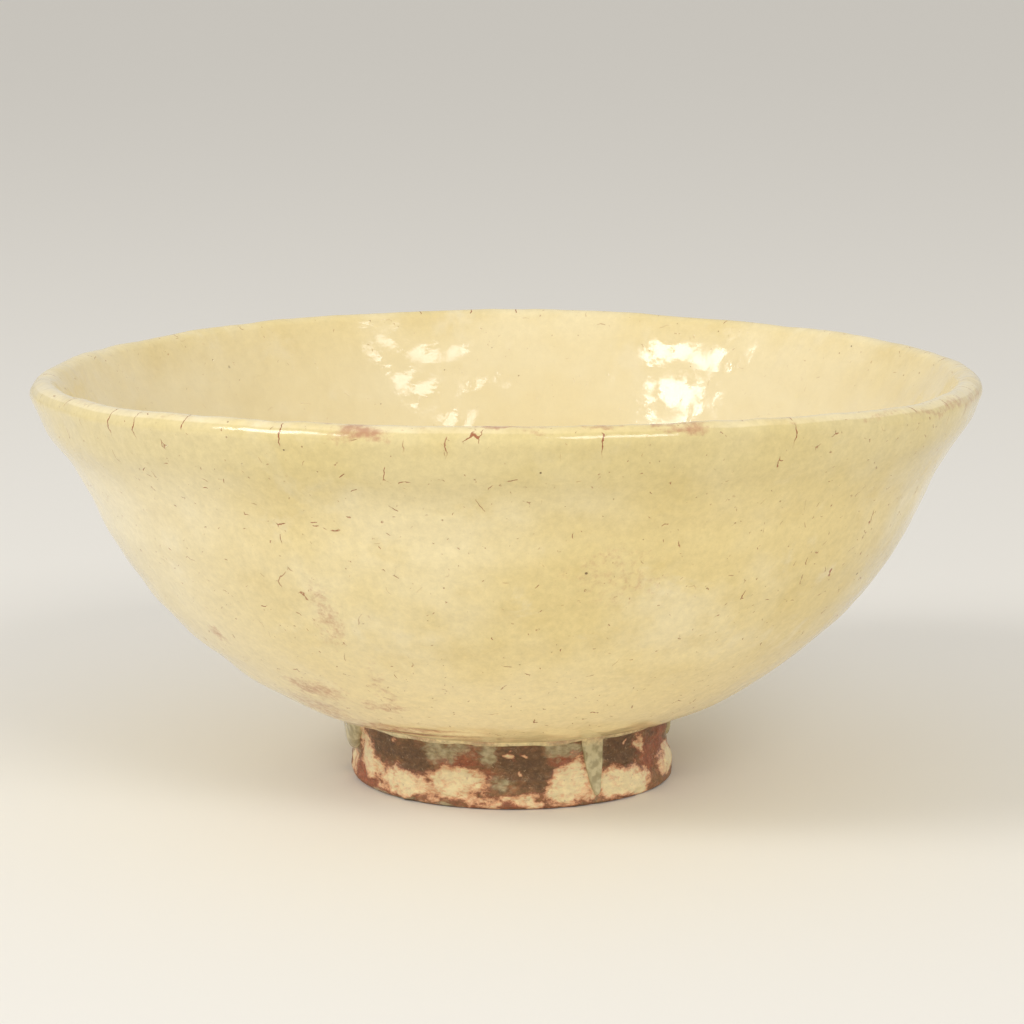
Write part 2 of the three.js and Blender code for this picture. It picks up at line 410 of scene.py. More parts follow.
# Marks on the side: degrees from the front, height, half widths in degrees and mm, strength.
CHARRED_MARKS = [
    (-48, 8.6, 8, 2.4, 1.1), (-36, 7.2, 7, 2.8, 1.1), (-33, 5.2, 4, 1.4, 0.8), (1, 8, 5, 3, 1.1),
    (9, 6.6, 6, 3.6, 1.2), (12, 4, 3, 1.5, 0.8), (43, 8.2, 8, 2.8, 1.2), (61, 9.2, 6, 1.6, 0.7),
    (92, 8.6, 8, 2.4, 1), (118, 7.4, 9, 3, 1), (148, 8.2, 8, 3, 1.1), (176, 7.2, 7, 3.4, 1),
    (206, 8.4, 9, 2.6, 1.1), (237, 7.6, 9, 3, 1), (268, 8.6, 7, 2.6, 0.8),
]
RED_MARKS = [
    (-65, 2.2, 10, 1.9, 1.1), (-19, 7.2, 9, 0.9, 1.1), (-14, 9.3, 4, 1, 0.8),
    (-8, 5.6, 3, 0.8, 0.7), (0, 10.4, 6, 0.9, 0.7), (21, 7.7, 6, 0.9, 1.1), (29, 4, 2.5, 3, 0.9),
    (57, 6, 7, 3.2, 1.1), (68, 8, 7, 2.8, 1), (-50, 0.6, 14, 0.6, 0.8), (-6, 0.5, 20, 0.6, 0.9),
    (112, 5, 6, 2, 0.9), (140, 3.5, 7, 1.6, 0.9), (182, 8, 6, 1.6, 0.9), (214, 5.6, 8, 1.2, 1),
    (247, 5, 5, 2.4, 0.9),
]
FILM_MARKS = [
    (-84, 7.5, 9, 4, 1.1), (-25, 8.6, 5, 1.8, 1), (-17, 9.7, 4, 1.1, 0.8), (-7.5, 8.9, 3, 1.6, 1),
    (-5, 4.2, 4, 1, 0.8), (2, 3.6, 2, 0.7, 0.6), (20, 9.4, 6, 1.3, 1), (31.5, 6, 4.4, 5, 0.95),
    (-45, 10.9, 10, 0.7, 0.6), (-35, 0.2, 25, 0.35, 0.8), (84, 7.6, 6, 3, 0.7),
    (132, 9.4, 8, 2, 0.9), (171, 5, 4, 5, 0.9), (196, 8.6, 6, 2.4, 0.9), (229, 7, 5, 3.6, 0.9),
    (262, 8, 6, 3, 0.9),
]
CREAM_MARKS = [
    (-69, 8.5, 5, 2.2, 0.8), (-63, 6, 5, 2.5, 0.95), (-57, 3.8, 5, 1.8, 0.8), (-46, 3, 8, 1.9, 0.9),
    (-36, 2.6, 7, 1.8, 0.85), (-31, 1.2, 5, 0.9, 0.6), (-20, 4, 9, 2.1, 1.1),
    (-10, 1.3, 6, 0.9, 0.62), (0, 1.6, 6, 1, 0.7), (7, 1.2, 5, 1.1, 0.8), (19, 2.8, 6, 2.3, 1.1),
    (23.5, 5.5, 4.5, 2.2, 0.9), (28, 2.5, 4, 2, 0.75), (41, 3, 8, 2.2, 1.1), (51, 2.2, 7, 1.8, 1),
    (52.5, 8, 2.5, 2, 0.72), (76, 3.6, 8, 2.2, 1), (1, 8.6, 1.2, 0.5, 0.8), (5, 8.3, 1, 0.4, 0.75),
    (3, 5.5, 1, 0.5, 0.7), (-42, 9.6, 1.5, 0.4, 0.6), (45, 9, 1, 0.4, 0.65), (102, 4, 10, 2.4, 1),
    (122, 2, 9, 1.3, 0.7), (133, 5.4, 6, 2.4, 0.9), (163, 4, 9, 2.6, 1), (178, 1.5, 8, 1.1, 0.7),
    (192, 4.4, 6, 3, 0.95), (221, 3.4, 10, 2.2, 1), (240, 1.4, 8, 1, 0.7), (256, 4.6, 8, 2.8, 0.95),
    (280, 3, 7, 2, 0.85),
]


def foot_side(height):
    """The radius of the foot's side: drawn in by a half wave between the base and the joint."""
    return FOOT_RADIUS - FOOT_WAIST * np.sin(math.pi * np.clip(height, 0, FOOT_HEIGHT) / FOOT_HEIGHT)


def away_from(turn, degrees):
    """How many degrees each turn lies from a direction, from -180 to 180."""
    return (np.degrees(turn) - degrees + 180) % 360 - 180


def side_relief(turn, height, points):
    """How far the foot's side stands out or in at points on it: a few broad bulges of thick clay
    and glaze, and the marks of the knife and the grit."""
    relief = layered(points, SIDE_LUMPS)
    for degrees, middle, half_turn, half_height, out in BULGES:
        bulge = hump(away_from(turn, degrees), 0, half_turn) * hump(height, middle, half_height)
        relief = relief + out * bulge
    return relief


def marks(listed, turn, height, radius, places):
    """How strongly a kind of mark covers each place: ovals that are soft at the edge, looked up
    at a place pushed a millimetre or two aside by noise, so that they come out ragged."""
    flat = places * (1, 1, 1.6)
    pushed_turn = turn + layered(flat, MARKS_ASIDE) / radius
    pushed_height = height + layered(flat, MARKS_ABOVE)
    cover = np.zeros(np.broadcast(turn, height).shape)
    for degrees, middle, half_turn, half_height, strength in listed:
        across, up = away_from(pushed_turn, degrees) / half_turn, (pushed_height - middle) / half_height
        oval = np.hypot(across, up)
        cover = np.maximum(cover, strength * np.clip((1.75 - oval) / 1.2, 0, 1))
    return cover


def tinted(material, colour, grey):
    """A colour with each of its channels multiplied by a grey value."""
    shade = node(material, "CombineColor", {0: grey, 1: grey, 2: grey})
    kind = {"data_type": "RGBA", "blend_type": "MULTIPLY"}
    return node(material, "Mix", {0: 1.0, 6: colour, 7: shade}, 2, **kind)


def foot_colour(material):
    """The foot's colour, how glassy it is, and its fine relief. Umber and charred ground and iron
    red blushes lie under thin grey-green glaze and crusts that go from maroon at their rims
    through salmon to cream, all broken by veins, smears and torn-out grit."""
    place = in_mm(material)
    streaks = node(material, "VectorMath", {0: place, 1: (1.0, 1.0, 1.7)}, **TIMES)
    # Random clouds: what they break up, where, their size in mm, detail, roughness and distortion.
    clouds = {}
    for label, at, size, detail, roughness, distortion in [
        ("edges", streaks, 0.9, 5, 0.66, 0.6), ("spread", streaks, 2.4, 4, 0.6, 0.8),
        ("umber", streaks, 1.7, 4, 0.65, 0), ("smears", streaks, 1.3, 5, 0.75, 0.7),
        ("veins", streaks, 1.9, 5, 0.7, 1.2), ("dirt", place, 0.7, 5, 0.75, 0),
        ("film", streaks, 1.2, 3, 0.5, 0), ("blush", streaks, 2.6, 5, 0.62, 1),
        ("grit", place, 0.55, 2, 0.6, 0), ("shade", streaks, 1.4, 5, 0.7, 0),
    ]:
        look = {"Scale": 1 / size, "Detail": detail, "Roughness": roughness, "Distortion": distortion}
        clouds[label] = node(material, "TexNoise", {"Vector": at, **look})

    spread = node(material, "Math", {0: clouds["spread"], 1: 1.1, 2: -1.05}, **TIMES_PLUS)
    ragged = node(material, "Math", {0: clouds["edges"], 1: spread}, **PLUS)
    covers = {}
    for label in ("red", "charred", "film", "cream"):
        from_attribute = node(material, "Attribute", {}, "Fac", attribute_name=label)
        covers[label] = node(material, "Math", {0: from_attribute, 1: ragged}, **PLUS)
    off_vein = node(material, "Math", {0: clouds["veins"], 1: 0.5}, operation="SUBTRACT")
    off_vein = node(material, "Math", {0: off_vein}, operation="ABSOLUTE")
    dirt = {0: clouds["dirt"], 1: 0.28, 2: 0.72, 3: 0.66, 4: 1.25}
    dirt = node(material, "MapRange", dirt, **SMOOTH)
    shade = {0: clouds["shade"], 1: 0.28, 2: 0.72, 3: 0.86, 4: 1.08}
    shade = node(material, "MapRange", shade, **SMOOTH)
    film = laid_on(material, linear(FILM_DARK), FILM_PALE, clouds["film"], 0.35, 0.65)
    specks = node(material, "MapRange", {0: clouds["grit"], 1: 0.66, 2: 0.72}, **SMOOTH)
    crusted = node(material, "MapRange", {0: covers["cream"], 1: 0.5, 2: 0.8}, **SMOOTH)
    blushed = node(material, "Math", {0: clouds["blush"], 1: crusted}, **TIMES)

    colour = laid_on(material, linear(BURNT), UMBER, clouds["umber"], 0.35, 0.65)
    colour = laid_on(material, colour, IRON_RED, covers["red"], 0.25, 0.95, 0.9)
    colour = laid_on(material, colour, CHARRED, covers["charred"], 0.25, 1.0, 0.9)
    colour = laid_on(material, colour, CLAY_GRIT, clouds["smears"], 0.52, 0.74, 0.5)
    colour = laid_on(material, colour, UMBER, off_vein, 0, 0.05, 0, 0.35)
    colour = tinted(material, colour, dirt)
    colour = laid_on(material, colour, film, covers["film"], 0.25, 0.95, 0.85)
    colour = laid_on(material, colour, MAROON, covers["cream"], 0.22, 0.42, 0.6)
    colour = laid_on(material, colour, SALMON, covers["cream"], 0.34, 0.64, 0.92)
    colour = laid_on(material, colour, CREAM, covers["cream"], 0.55, 0.95, 0.95)
    colour = laid_on(material, colour, SALMON, blushed, 0.48, 0.72, 0.75)
    colour = laid_on(material, colour, CLAY_GRIT, specks, 0, 1, 0.6)
    colour = tinted(material, colour, shade)
    return colour, covers["film"], [(clouds["edges"], 0.22), (specks, 0.06)]


def burnt_foot():
    """Iron-bearing stoneware scorched by the kiln: matt, but for the thin film of glaze."""
    material, shader = new_material("burnt_foot_clay")
    colour, film, heights = foot_colour(material)
    dull = node(material, "MapRange", {0: film, 1: 0.25, 2: 0.95, 3: 0.55, 4: 0.25}, **SMOOTH)
    normal = relief_of(material, *heights)
    fill_in(shader, {"Base Color": colour, "Roughness": dull, "IOR": 1.5, "Normal": normal})
    return material


def foot_covers(turn, height, places, share):
    """How strongly each kind of mark covers each place on the foot, lessened to a share."""
    kinds = {"charred": CHARRED_MARKS, "red": RED_MARKS, "film": FILM_MARKS, "cream": CREAM_MARKS}
    return {label: share * marks(kinds[label], turn, height, FOOT_RADIUS, places) for label in kinds}


hollow = FOOT_RADIUS - FOOT_WALL
foot_top = FOOT_HEIGHT - 0.02
side_heights = np.linspace(FOOT_BEVEL, foot_top, 58)
side_line = np.stack([foot_side(side_heights), side_heights], axis=1)
base_out = np.linspace((hollow + FOOT_BEVEL, 0), (FOOT_RADIUS - FOOT_BEVEL, 0), 14)
bevel_out = rounded_line([base_out[-1], (FOOT_RADIUS - 0.35, 0.25), side_line[0]], 7)
inner_side = np.linspace((hollow - RECESS_DRAFT, foot_top), (hollow, FOOT_BEVEL), 20)
bevel_in = rounded_line([inner_side[-1], (hollow + 0.35, 0.3), base_out[0]], 5)
foot_line = np.vstack([base_out, bevel_out[1:], side_line[1:], inner_side, bevel_in[1:-1]])
foot_turns = np.linspace(0, 2 * math.pi, ROUND_FOOT, endpoint=False)
out, up = foot_line[:, :1], foot_line[:, 1:]
true_foot = by_hand(out, up, foot_turns)
off_base = np.clip(up / 1.2, 0, 1) * np.clip((FOOT_HEIGHT - up) / 0.5, 0, 1)
knife = 0.1 * np.sin(2 * math.pi * up / 2.1 + foot_turns + 1.2 * swells(true_foot, 12, 24))
outward = np.where(out > (FOOT_RADIUS + hollow) / 2, 1, -1)
foot_out = outward * off_base * (side_relief(foot_turns, up, true_foot) + knife)
edge_chips = np.clip(swells(true_foot, 2.4, 25) - 0.25, 0, 1) * hump(up, 0.5, 0.7) * 0.9
foot_points = by_hand(out + foot_out - outward * edge_chips, up, foot_turns)
on_side = np.where(out > hollow + FOOT_BEVEL, 1.0, 0.4)
foot_marks = foot_covers(foot_turns, up, true_foot, on_side)
foot_ring = skin_mesh("foot_ring_clay", foot_points, True, **foot_marks)
foot_ring.data.materials.append(burnt_foot())
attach(foot_ring, "root")
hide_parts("foot_ring")


# ---------------------------------------------------------------------------------------------
# The outer glaze: a thick milky ivory coat that the bowl was dipped in, foot downwards. It runs
# from the joint, where it ends in a rolled edge and a few thin grey-green drips down the foot,
# up the wall, over the lip, where it wears thin, and a finger's width down the inside.
FILM_THICK = 0.25  # the coat where it first leaves the wall for the foot
EDGE_REST = 10.2  # height of the glaze's lower edge where there is no drip
CREASE = 10.9  # height at which the coat leaves the foot's side
# Drips: degrees from the front, half width in degrees, height they reach down to, thickness.
DRIPS = [
    (-80, 13, 4.6, 1.25), (31, 3.8, 1.3, 0.5), (88, 7, 6, 0.6), (131, 8, 5.4, 0.5),
    (171, 5, 2.8, 0.6), (196, 7, 6.8, 0.4), (229, 5, 5.6, 0.5), (258, 6, 7.2, 0.5),
]
# Grooves of the turning tool above the foot: radius, half width and depth, degrees and half width.
GROOVES = [
    (31.4, 0.7, 0.24, -58, 36), (33.6, 0.7, 0.22, -34, 24), (36.4, 0.8, 0.15, -20, 16),
    (31.8, 0.7, 0.2, 56, 24), (32.0, 0.7, 0.2, 150, 60), (35.4, 0.8, 0.15, 215, 40),
]
# Brown stains: degrees from the front, height, half widths in degrees and mm, strength.
STAINS = [
    (-15.8, 65.5, 3, 0.9, 1), (-19, 66.55, 5, 0.15, 0.9), (-2, 66.55, 6, 0.15, 0.9),
    (4, 66.1, 2, 0.4, 0.6), (10, 66.3, 1.5, 0.4, 0.8), (17, 66.55, 5, 0.2, 0.8),
    (20, 65.8, 3, 0.5, 0.8), (34, 65.9, 5, 0.3, 0.4), (48, 65.6, 8, 0.5, 0.5),
    (62, 65.2, 9, 0.7, 0.65), (74, 64.7, 7, 0.9, 0.65), (-60, 66.2, 8, 0.25, 0.5),
    (-40, 66.4, 6, 0.2, 0.5), (-46, 17, 9, 3, 0.7), (-38, 22, 6, 2, 0.8),
    (-30, 14.5, 10, 1.2, 0.75), (-24, 20, 5, 1.1, 0.7), (-52, 30, 2, 1.5, 0.7),
    (-22, 24, 2, 5, 0.5), (-26, 37, 2.2, 5, 0.62), (14, 44, 7, 5, 0.4),
    (-8, 13, 10, 0.8, 0.5), (28, 12.6, 12, 0.6, 0.35), (62, 13, 12, 1, 0.4),
    (-62, 13, 12, 0.8, 0.5), (170, 16, 10, 3, 0.45), (225, 20, 8, 3, 0.4), (120, 14, 12, 1, 0.5),
    (180, 40, 6, 6, 0.3),
]
IVORY = "#F1E1B2"
STRAW = "#E9D496"
OLIVE = "#D9C07A"
# the milky white of bubbly glaze, also used for the painted sheen on the left of the outside wall
MILK_AND_SHEEN = "#F5EACA"
# painted light: a brighter straw laid on the low outside wall in place of the light it should catch
# there
LOW_WALL_PAINTED_LIGHT = "#FFEBB4"
INNER_CREAM = "#EADBB3"
# painted shade: the olive darkening laid on the outside wall under the flaring lip
LIP_SHADE_OLIVE = "#D8C587"
THIN_PALE = "#D2C79E"
THIN_DARK = "#AA9E78"
STAIN_BROWN = "#B3735B"
CRACK_BROWN = "#943610"
PIN_BLACK = "#5A3A22"


def cracks(material, place, size, width, keep):
    """Crazing: the walls between random cells `size` mm across, `width` mm wide, kept only
    where a cloudy noise is over `keep`, so that short forks and ticks are left."""
    swirl = node(material, "TexNoise", {"Vector": place, "Scale": 1 / (size * 0.3), "Detail": 3.0}, 1)
    bent = node(material, "VectorMath", {0: swirl, 1: (size * 0.2,) * 3, 2: place}, **TIMES_PLUS)
    cell = {"Vector": bent, "Scale": 1 / size}
    wall = node(material, "TexVoronoi", cell, feature="DISTANCE_TO_EDGE")
    edges = {1: width / size * 0.4, 2: width / size, 3: 1.0, 4: 0.0}
    line = node(material, "MapRange", {0: wall, **edges}, **SMOOTH)
    cloud = node(material, "TexNoise", {"Vector": place, "Scale": 1 / (size * 0.3), "Detail": 1.5})
    kept = node(material, "MapRange", {0: cloud, 1: keep, 2: keep + 0.08}, **SMOOTH)
    return node(material, "Math", {0: line, 1: kept}, **TIMES)


def lip_cracks(material, along, place, spacing, width):
    """Cracks straight across the lip: random places along it, `spacing` mm apart, each wavering
    a little with its height, and two out of three of them left out by a cloudy noise."""
    waver = node(material, "TexNoise", {"Vector": place, "Scale": 1 / 1.2, "Detail": 3.0})
    at_place = node(material, "Math", {0: waver, 1: 1.1, 2: along}, **TIMES_PLUS)
    cell = {"W": at_place, "Scale": 1 / spacing}
    wall = node(material, "TexVoronoi", cell, feature="DISTANCE_TO_EDGE", voronoi_dimensions="1D")
    edges = {1: width / spacing * 0.4, 2: width / spacing, 3: 1.0, 4: 0.0}
    line = node(material, "MapRange", {0: wall, **edges}, **SMOOTH)
    cloud = node(material, "TexNoise", {"Vector": place, "Scale": 1 / 6, "Detail": 1.0})
    kept = node(material, "MapRange", {0: cloud, 1: 0.52, 2: 0.6}, **SMOOTH)
    return node(material, "Math", {0: line, 1: kept}, **TIMES)


def pinholes(material, place, size, radius, keep):
    """Pinholes: round specks of up to `radius` mm, one in each cell `size` mm across, of which
    a random share over `keep` is there."""
    away = node(material, "TexVoronoi", {"Vector": place, "Scale": 1 / size}, "Distance")
    chance = node(material, "SeparateColor", {0: away.node.outputs["Color"]})
    reach = {1: keep, 2: 1.0, 3: 0.0005, 4: radius / size}
    reach = node(material, "MapRange", {0: chance, **reach}, **SMOOTH)
    ratio = node(material, "Math", {0: away, 1: reach}, operation="DIVIDE")
    return node(material, "MapRange", {0: ratio, 1: 0.6, 2: 1.0, 3: 1.0, 4: 0.0}, **SMOOTH)


def ivory_glaze():
    """Thick feldspar and wood ash glaze: milky and glossy, pooled to straw yellow and olive where
    thick, whiter where it is bubbly, crazed in short iron-stained cracks and pricked by pinholes.
    Thin, on the foot, it turns grey-green over the dark clay."""
    material, shader = new_material("milky_ivory_glaze")
    place = in_mm(material)
    from_attribute = {}
    # values read from the coat's attributes: stains and thin glaze, and also painted light, painted
    # shade and painted sheen
    for label in ("stain", "thin", "inside", "painted_shade_under_lip", "on_lip", "along_lip", "painted_light_low_wall", "milky"):
        from_attribute[label] = node(material, "Attribute", {}, "Fac", attribute_name=label)
    # Random clouds: what they break up, their size in mm, detail, roughness and distortion.
    clouds = {}
    for label, size, detail, roughness, distortion in [
        ("pools", 26, 3, 0.55, 0), ("olive", 9, 4, 0.6, 0), ("milk", 12, 5, 0.6, 0.4),
        ("flecks", 1.3, 4, 0.75, 0), ("stain", 1.1, 5, 0.7, 0), ("thin", 1.1, 4, 0.65, 0),
        ("film", 1.3, 3, 0.5, 0), ("patches", 17, 2, 0.5, 0), ("gloss", 6, 3, 0.5, 0),
        ("ripple", 1.5, 2, 0.5, 0),
    ]:
        look = {"Scale": 1 / size, "Detail": detail, "Roughness": roughness, "Distortion": distortion}
        clouds[label] = node(material, "TexNoise", {"Vector": place, **look})

    colour = laid_on(material, linear(IVORY), STRAW, clouds["pools"], 0.36, 0.64)
    colour = laid_on(material, colour, OLIVE, clouds["olive"], 0.5, 0.75, 0.4)
    colour = laid_on(material, colour, MILK_AND_SHEEN, clouds["milk"], 0.55, 0.75, 0.5)
    # painted light: the outside wall is lightened towards its foot, fading out by 38 mm up
    colour = laid_on(material, colour, LOW_WALL_PAINTED_LIGHT, from_attribute["painted_light_low_wall"], 0, 1, 0.8)
    # painted sheen: the left side of the outside wall is paled towards milky white, as if catching the
    # left lamp
    colour = laid_on(material, colour, MILK_AND_SHEEN, from_attribute["milky"], 0, 1, 0.6)
    colour = laid_on(material, colour, INNER_CREAM, from_attribute["inside"], 0, 1, 0.62)
    # painted shade: the outside below the lip is darkened towards olive, as if shaded by the lip's
    # overhang
    colour = laid_on(material, colour, LIP_SHADE_OLIVE, from_attribute["painted_shade_under_lip"], 0, 1, 0.6)
    outside = node(material, "Math", {0: 1.0, 1: from_attribute["inside"]}, operation="SUBTRACT")
    fleck = node(material, "Math", {0: clouds["flecks"], 1: -0.3, 2: 0.135}, **TIMES_PLUS)
    flecked = node(material, "Math", {0: outside, 1: 0.25}, **PLUS)
    grey = node(material, "Math", {0: fleck, 1: flecked, 2: 0.99}, **TIMES_PLUS)
    colour = tinted(material, colour, grey)

    stain = node(material, "Math", {0: clouds["stain"], 1: 1.6, 2: from_attribute["stain"]}, **TIMES_PLUS)
    colour = laid_on(material, colour, STAIN_BROWN, stain, 1.1, 1.95, 0.72)
    thin = node(material, "Math", {0: clouds["thin"], 1: 1.1, 2: from_attribute["thin"]}, **TIMES_PLUS)
    film = laid_on(material, linear(THIN_DARK), THIN_PALE, clouds["film"], 0.38, 0.62)
    colour = laid_on(material, colour, film, thin, 0.8, 1.5, 0.95)

    rare = node(material, "Math", {0: outside, 1: 0.7, 2: 0.3}, **TIMES_PLUS)
    patches = {0: clouds["patches"], 1: 0.38, 2: 0.6, 3: 0.3, 4: 1.0}
    patches = node(material, "MapRange", patches, **SMOOTH)
    forks = node(material, "Math", {0: cracks(material, place, 7.5, 0.08, 0.6), 1: patches}, **TIMES)
    forks = node(material, "Math", {0: forks, 1: rare}, **TIMES)
    ticks = node(material, "Math", {0: cracks(material, place, 3.4, 0.08, 0.64), 1: rare}, **TIMES)
    across = lip_cracks(material, from_attribute["along_lip"], place, 8.5, 0.12)
    across = node(material, "Math", {0: across, 1: from_attribute["on_lip"], 2: forks}, **TIMES_PLUS)
    pins = node(material, "Math", {0: pinholes(material, place, 6.0, 0.34, 0.55), 1: rare}, **TIMES)
    dust = pinholes(material, place, 2.2, 0.17, 0.4)
    colour = laid_on(material, colour, CRACK_BROWN, across, 0, 1, 0.84)
    colour = laid_on(material, colour, CRACK_BROWN, ticks, 0, 1, 0.6)
    colour = laid_on(material, colour, PIN_BLACK, pins, 0, 1, 0.8)
    colour = laid_on(material, colour, CRACK_BROWN, dust, 0, 1, 0.45)
    gloss = node(material, "MapRange", {0: clouds["gloss"], 1: 0.3, 2: 0.7, 3: 0.08, 4: 0.2}, **SMOOTH)
    normal = relief_of(material, (clouds["ripple"], 0.045), (across, -0.05), (ticks, -0.05),
                       (pins, -0.12), (dust, -0.12))
    fill_in(shader, {"Base Color": colour, "Roughness": gloss, "IOR": 1.52, "Normal": normal})
    return material


# The coat's surface is worked out once, from the edge on the foot to the middle of the floor, and
# the outer and inner coats each take their own stretch of its rows, so that they meet unseen.
FOOT_ROWS, CREASE_ROWS, WALL_ROWS, LIP_ROWS, INSIDE_ROWS, FLOOR_ROWS = 20, 16, 78, 17, 80, 34
OVERRUN_ROWS = 8  # rows of the inside that belong to the outer coat
CREASE_OVER = 8  # rows of the wall that the crease's curve takes the place of
BURIED = 0.35  # how far the coat's hidden side goes into the foot
THROWING_PITCH, THROWING_DEPTH = 6.4, 0.11  # of the rings that the fingers left
EDGE_WANDER = [(1, 5, 41), (0.35, 2.6, 40)]
COAT_HILLS = [(0.1, 7, 44), (0.035, 2.8, 45)]
INSIDE_RIPPLES = [(0.12, 5.2, 46), (0.1, 2.7, 47), (0.055, 1.7, 50)]
SHEEN_TURN, SHEEN_REACH = -66, 34  # where round the bowl a pale sheen is painted on the outside wall, in degrees
skin, before_lip, before_inside = clay_skin(WALL_ROWS, LIP_ROWS, INSIDE_ROWS, FLOOR_ROWS)
surface = set_off(skin, COAT)
surface[-1, 0] = 0

around_foot = np.stack([np.sin(turns), -np.cos(turns), 0 * turns], axis=1) * FOOT_RADIUS
wander = layered(around_foot, EDGE_WANDER)
drop = np.zeros(ROUND_BOWL)
thick = np.full(ROUND_BOWL, FILM_THICK)
for degrees, half_width, reach, stands in DRIPS:
    apart = away_from(turns, degrees) + 0.7 * wander
    tongue = np.clip(1 - np.abs(apart / half_width) ** 2.2, 0, 1) ** 0.8
    drop = np.maximum(drop, tongue * (EDGE_REST - reach))
    thick = np.maximum(thick, FILM_THICK + (stands - FILM_THICK) * np.sqrt(tongue))
edge = EDGE_REST - drop + 0.35 * wander
climb = np.linspace(0, 1, FOOT_ROWS)[:, None]
foot_heights = edge + (CREASE - edge) * climb
from_edge = np.clip((foot_heights - edge) / (1.5 * thick), 0, 1)
rolled = np.sqrt(1 - (1 - from_edge) ** 2)
foot_ground = by_hand(foot_side(foot_heights), foot_heights, turns)
lumps = side_relief(turns, foot_heights, foot_ground)
foot_radii = foot_side(foot_heights) + lumps + thick * rolled - 0.1 * (1 - rolled)

# The crease: a curve from the foot's side to the wall, drawn towards one point between them.
bend = np.linspace(0, 1, CREASE_ROWS)[1:-1, None]
start_r, start_z = foot_radii[-1], foot_heights[-1]
end_r, end_z = surface[CREASE_OVER]
turn_r, turn_z = foot_side(CREASE) + thick + 0.9, surface[0, 1] + 0.35
crease_radii = (1 - bend) ** 2 * start_r + 2 * bend * (1 - bend) * turn_r + bend**2 * end_r
crease_heights = (1 - bend) ** 2 * start_z + 2 * bend * (1 - bend) * turn_z + bend**2 * end_z
all_round = np.ones(ROUND_BOWL)  # gives each column of a row the row's one value
radii = np.vstack([foot_radii, crease_radii, surface[CREASE_OVER:, :1] * all_round])
heights = np.vstack([foot_heights, crease_heights, surface[CREASE_OVER:, 1:] * all_round])
rows_before_skin = len(foot_radii) + len(crease_radii) - CREASE_OVER
lip_row = rows_before_skin + before_lip
inside_row = rows_before_skin + before_inside
meeting = inside_row + OVERRUN_ROWS

# The hand's traces on the coat, in millimetres proud of the true form.
true_coat = by_hand(radii, heights, turns)
row = np.arange(len(radii))[:, None]
inside = np.clip((row - lip_row) / (inside_row + 10 - lip_row), 0, 1)
on_wall = np.clip((row - FOOT_ROWS) / 16, 0, 1)
to_axis = np.clip(radii / 4, 0, 1)
line_along = np.gradient(np.stack([radii, heights], axis=-1), axis=0)
line_along /= np.linalg.norm(line_along, axis=-1)[..., None]
risen = heights / THROWING_PITCH - turns / (2 * math.pi)
rings = np.sin(2 * math.pi * risen + 1.5 * swells(true_coat, 30, 42))
ring_depth = THROWING_DEPTH * (1 - 0.5 * inside) * np.clip(0.6 + swells(true_coat, 24, 43), 0, 1.3)
proud = on_wall * (rings * ring_depth + layered(true_coat, COAT_HILLS))
proud += inside * layered(true_coat, INSIDE_RIPPLES)
groove = np.zeros(radii.shape)
groove_radii = radii + 0.9 * swells(true_coat, 9, 51)
for radius, half_width, depth, degrees, half_turn in GROOVES:
    near = hump(away_from(turns, degrees), 0, half_turn)
    groove += depth * near * hump(groove_radii, radius, half_width) * (heights < 18)
proud -= groove
proud *= to_axis
coat = by_hand(radii + line_along[..., 1] * proud, heights - line_along[..., 0] * proud, turns)

# What the glaze's colours follow, from 0 to about 1, and the distance along the lip in mm.
stained = marks(STAINS, turns, heights, radii + 1, true_coat * 0.8)
stained *= 1 - np.clip((row - inside_row) / 3, 0, 1)
murky = 1.15 * hump(radii, 27.8, 2.8) * (row < FOOT_ROWS + 20)
murky *= np.clip(0.6 + swells(true_coat, 6, 52), 0, 1)
stained = np.maximum.reduce([stained, np.clip(groove * 7, 0, 1.2), murky])
thinned = np.clip((12.2 - heights) / 3.2, 0, 1) * (row < FOOT_ROWS + 12)
looks = {
    "stain": stained,
    "thin": thinned,
    "inside": np.clip((row - lip_row - 6) / (inside_row + 4 - lip_row), 0, 1) + 0 * heights,
    # painted shade: how much the outside under the lip is darkened, from nothing at 50 mm to full at 62
    # mm
    "painted_shade_under_lip": np.clip((heights - 50) / 12, 0, 1) * (row < lip_row + 4),
    # painted light: how much the low outside wall is lightened, fully below 16 mm and not at all from
    # 38 mm
    "painted_light_low_wall": np.clip((38 - heights) / 22, 0, 1) * (row < lip_row),
    # painted sheen: how strongly the left side of the outside wall is paled, a hump round the turn
    # given above
    "milky": hump(np.degrees(turns) - 360, SHEEN_TURN, SHEEN_REACH) * (row < lip_row) + 0 * heights,
    "on_lip": np.clip((heights - 62.2) / 1.6, 0, 1) * (row < lip_row + LIP_ROWS - 4),
    "along_lip": (turns - math.pi) * LIP_RADIUS + 0 * heights,
}

# The bonded side is hidden, so it is coarse: down the clay from the meeting line to the edge.
bond_skin, _, bond_inside = clay_skin(10, 5, INSIDE_ROWS, FLOOR_ROWS)
bond_line = set_off(bond_skin, BOND)[1 : bond_inside + OVERRUN_ROWS][::-1]
bond = by_hand(bond_line[:, :1] * all_round, bond_line[:, 1:] * all_round, turns)
bond_foot = by_hand(foot_side(edge) - BURIED, edge + 0.05, turns)[None]
bond_top = by_hand((foot_side(CREASE) - BURIED) * all_round, CREASE * all_round, turns)[None]
outer_points = np.concatenate([coat[: meeting + 1], bond, bond_top, bond_foot])
hidden = np.zeros((len(outer_points) - meeting - 1, ROUND_BOWL))
outer_looks = {label: np.concatenate([looks[label][: meeting + 1], hidden]) for label in looks}
outer_glaze = skin_mesh("outer_glaze_coat", outer_points, True, sharp_rows=(meeting,), **outer_looks)
glaze = ivory_glaze()
